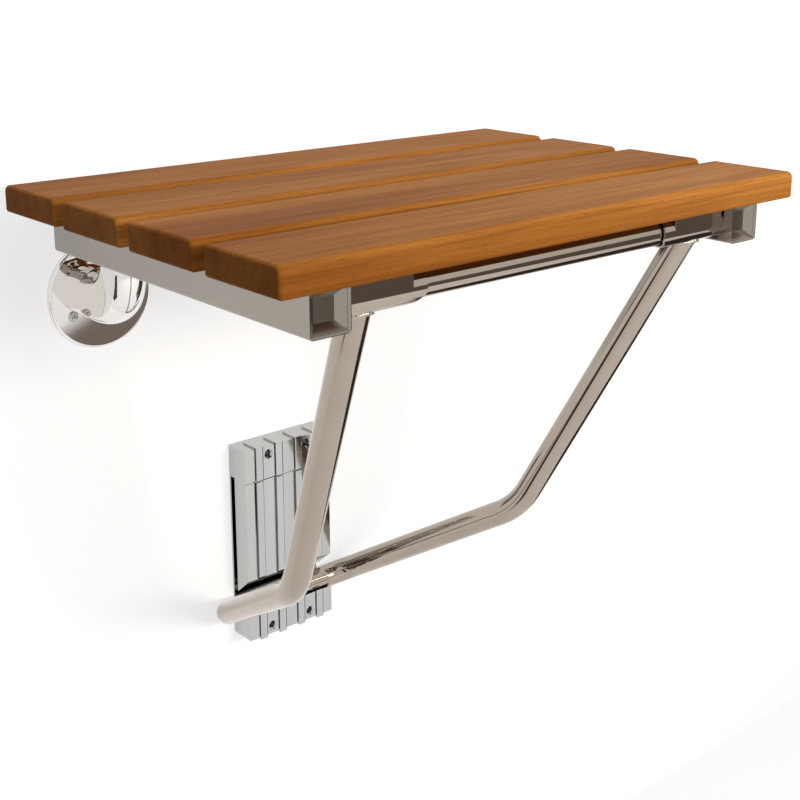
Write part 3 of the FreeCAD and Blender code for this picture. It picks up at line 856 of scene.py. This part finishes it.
@dataclass
class Studio:
    """Camera, white wall and floor, and soft light."""

    camera_place: tuple[float, float, float] = (-0.6846, -0.9799, 0.5362)
    heading: float = math.radians(40.741)
    pitch: float = math.radians(14.917)
    focal_pixels: float = 1345.0
    shift_y: float = -0.12
    sensor_mm: float = 36.0
    floor_z: float = -0.56
    wall_y: float = 0.0006
    room: float = 3.0
    paper: float = 1.9
    paper_fade: float = 0.1
    room_light: float = 0.55
    paper_white: str = "AEAEAE"
    paper_glow: float = 0.64
    horizon_tilt: tuple[float, float, float] = (-0.6, 0.0, 1.0)
    horizon: tuple[float, float] = (-0.530, -0.518)
    floor_tone: str = "766C64"
    room_tone: str = "F6F3F0"
    flag_cloth: str = "57504A"
    # Each flag: its X, its near and far Y, and its top.
    flags: tuple[tuple[float, float, float, float], ...] = (
        (0.60, -0.50, -0.04, 0.02),
        (-0.80, -0.40, -0.16, 0.10),
    )
    aim: tuple[float, float, float] = (0.0, -0.15, 0.2)
    lamps: tuple[Lamp, ...] = (
        Lamp("key_lamp", (0.35, -2.5, 0.9), 1.2, 42.0, "FFF6EC"),
        Lamp("top_lamp", (0.2, -0.9, 2.2), 1.6, 12.0, "FFFFFF"),
    )

    def camera(self) -> None:
        """Places the camera where the photograph was taken from."""
        data = bpy.data.cameras.new("camera")
        data.sensor_width = self.sensor_mm
        data.lens = self.focal_pixels / IMAGE_PIXELS * self.sensor_mm
        data.shift_y = self.shift_y
        camera = bpy.data.objects.new("camera", data)
        bpy.context.scene.collection.objects.link(camera)
        camera.location = self.camera_place
        camera.rotation_euler = (math.pi / 2 - self.pitch, 0.0, -self.heading)
        bpy.context.scene.camera = camera

    def backdrop_material(self, name: str) -> bpy.types.Material:
        """Builds the white of wall and floor.

        Args:
            name: the material's name.

        Returns:
            Matt white that keeps soft shadows, and that lets one look through it from behind.
        """
        material, tree = new_material(name)
        path = add_node(tree, "ShaderNodeLightPath")
        seen = path.outputs["Is Camera Ray"]
        for ray in ("Is Glossy Ray", "Is Transmission Ray"):
            either = add_node(tree, "ShaderNodeMath", {0: seen, 1: path.outputs[ray]}, operation="MAXIMUM")
            seen = either.outputs[0]
        matt = add_node(tree, "ShaderNodeBsdfDiffuse", {"Color": linear(self.paper_white)})
        lift = add_node(tree, "ShaderNodeMath", {0: seen, 1: self.paper_glow}, operation="MULTIPLY")
        glow = add_node(tree, "ShaderNodeEmission", {"Color": linear("FFFFFF"), "Strength": lift.outputs[0]})
        white = add_node(tree, "ShaderNodeAddShader", {0: matt.outputs[0], 1: glow.outputs[0]})
        behind = add_node(tree, "ShaderNodeNewGeometry").outputs["Backfacing"]
        clear = add_node(tree, "ShaderNodeBsdfTransparent")
        mixed = add_node(tree, "ShaderNodeMixShader", {0: behind, 1: white.outputs[0], 2: clear.outputs[0]})
        # Far from the seat the metal mirrors the room, not the paper.
        spread = add_node(tree, "ShaderNodeVectorMath", {
            0: add_node(tree, "ShaderNodeTexCoord").outputs["Object"], 1: (0.0, 0.0, self.floor_z),
        }, operation="DISTANCE")
        far = add_node(tree, "ShaderNodeMapRange", {
            "Value": spread.outputs["Value"], "From Min": self.paper, "From Max": self.paper + self.paper_fade,
        })
        open_room = add_node(tree, "ShaderNodeMath", {0: far.outputs[0], 1: path.outputs["Is Glossy Ray"]},
                             operation="MULTIPLY")
        final = add_node(tree, "ShaderNodeMixShader", {
            0: open_room.outputs[0], 1: mixed.outputs[0], 2: clear.outputs[0],
        })
        close_surface(tree, final.outputs[0])
        return material

    def flag_material(self) -> bpy.types.Material:
        """Builds the cloth of a studio flag.

        Returns:
            A dark cloth that only the metal sees.
        """
        material, tree = new_material("dark flag cloth")
        path = add_node(tree, "ShaderNodeLightPath")
        cloth = add_node(tree, "ShaderNodeBsdfDiffuse", {"Color": linear(self.flag_cloth)})
        clear = add_node(tree, "ShaderNodeBsdfTransparent")
        mixed = add_node(tree, "ShaderNodeMixShader", {
            0: path.outputs["Is Glossy Ray"], 1: clear.outputs[0], 2: cloth.outputs[0],
        })
        close_surface(tree, mixed.outputs[0])
        return material

    def sheet(self, name: str, corners: Sequence[tuple[float, float, float]],
              material: bpy.types.Material) -> None:
        """Makes one flat sheet of the studio.

        Args:
            name: the sheet's name.
            corners: four corners, anticlockwise as seen from its front.
            material: what it is made of.
        """
        mesh = bpy.data.meshes.new(name)
        mesh.from_pydata(corners, [], [(0, 1, 2, 3)])
        mesh.materials.append(material)
        link_mesh(name, mesh)

    def backdrop(self) -> None:
        """Builds the wall behind the seat, the floor below and the dark flags beside it."""
        r, y, z = self.room, self.wall_y, self.floor_z
        self.sheet("backdrop_wall", [(-r, y, z), (r, y, z), (r, y, r), (-r, y, r)],
                   self.backdrop_material("backdrop_wall"))
        self.sheet("backdrop_floor", [(-r, -2 * r, z), (r, -2 * r, z), (r, y, z), (-r, y, z)],
                   self.backdrop_material("backdrop_floor"))
        for number, (x, near, far, top) in enumerate(self.flags):
            self.sheet(f"flag_{number}", [(x, near, z), (x, far, z), (x, far, top), (x, near, top)],
                       self.flag_material())

    def world(self) -> None:
        """Surrounds the seat with a white room over a warm grey floor, for the chrome to mirror."""
        world = bpy.data.worlds.new("studio")
        bpy.context.scene.world = world
        world.use_nodes = True
        tree = world.node_tree
        tree.nodes.clear()
        path = add_node(tree, "ShaderNodeLightPath")
        way = add_node(tree, "ShaderNodeTexCoord").outputs["Generated"]
        # The grey floor's far edge climbs to the right.
        height = add_node(tree, "ShaderNodeVectorMath", {0: way, 1: self.horizon_tilt},
                          operation="DOT_PRODUCT")
        above = add_node(tree, "ShaderNodeMapRange", {
            "Value": height.outputs["Value"], "From Min": self.horizon[0], "From Max": self.horizon[1],
        })
        mirrored = add_node(tree, "ShaderNodeMix", {
            0: above.outputs[0], 6: linear(self.floor_tone), 7: linear(self.room_tone),
        }, data_type="RGBA")
        soft = add_node(tree, "ShaderNodeBackground", {
            "Color": linear("FFFFFF"), "Strength": self.room_light,
        })
        shown = add_node(tree, "ShaderNodeBackground", {"Color": mirrored.outputs[2], "Strength": 1.0})
        white = add_node(tree, "ShaderNodeBackground", {"Color": linear("FFFFFF"), "Strength": 1.0})
        with_gloss = add_node(tree, "ShaderNodeMixShader", {
            0: path.outputs["Is Glossy Ray"], 1: soft.outputs[0], 2: shown.outputs[0],
        })
        with_camera = add_node(tree, "ShaderNodeMixShader", {
            0: path.outputs["Is Camera Ray"], 1: with_gloss.outputs[0], 2: white.outputs[0],
        })
        add_node(tree, "ShaderNodeOutputWorld", {"Surface": with_camera.outputs[0]})

    def lights(self) -> None:
        """Hangs the key lamp in front, a little to the right, and a weak one overhead."""
        for lamp in self.lamps:
            data = bpy.data.lights.new(lamp.name, "AREA")
            data.shape = "RECTANGLE"
            data.size = lamp.width
            data.size_y = lamp.width * lamp.height_share
            data.energy = lamp.watts
            data.color = linear(lamp.tint)[:3]
            thing = bpy.data.objects.new(lamp.name, data)
            bpy.context.scene.collection.objects.link(thing)
            thing.location = lamp.place
            way = Vector(self.aim) - Vector(lamp.place)
            thing.rotation_euler = way.to_track_quat("-Z", "Y").to_euler()


def main() -> None:
    """Builds and dresses the whole seat."""
    logging.basicConfig(level=logging.INFO, format="%(name)s: %(message)s")
    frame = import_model()
    nodes = frame["nodes"]
    bpy.context.scene.view_settings.view_transform = "Standard"
    studio = Studio()
    studio.camera()
    studio.world()
    studio.backdrop()
    studio.lights()
    SlattedSeat().dress(nodes)
    RailFrame().dress(nodes)
    brackets = HingeBrackets()
    brackets.dress(nodes)
    brackets.build()
    legs = LegFrame()
    legs.dress(nodes)
    legs.build()
    WallPlate().dress(nodes)


if __name__ == "__main__":
    main()
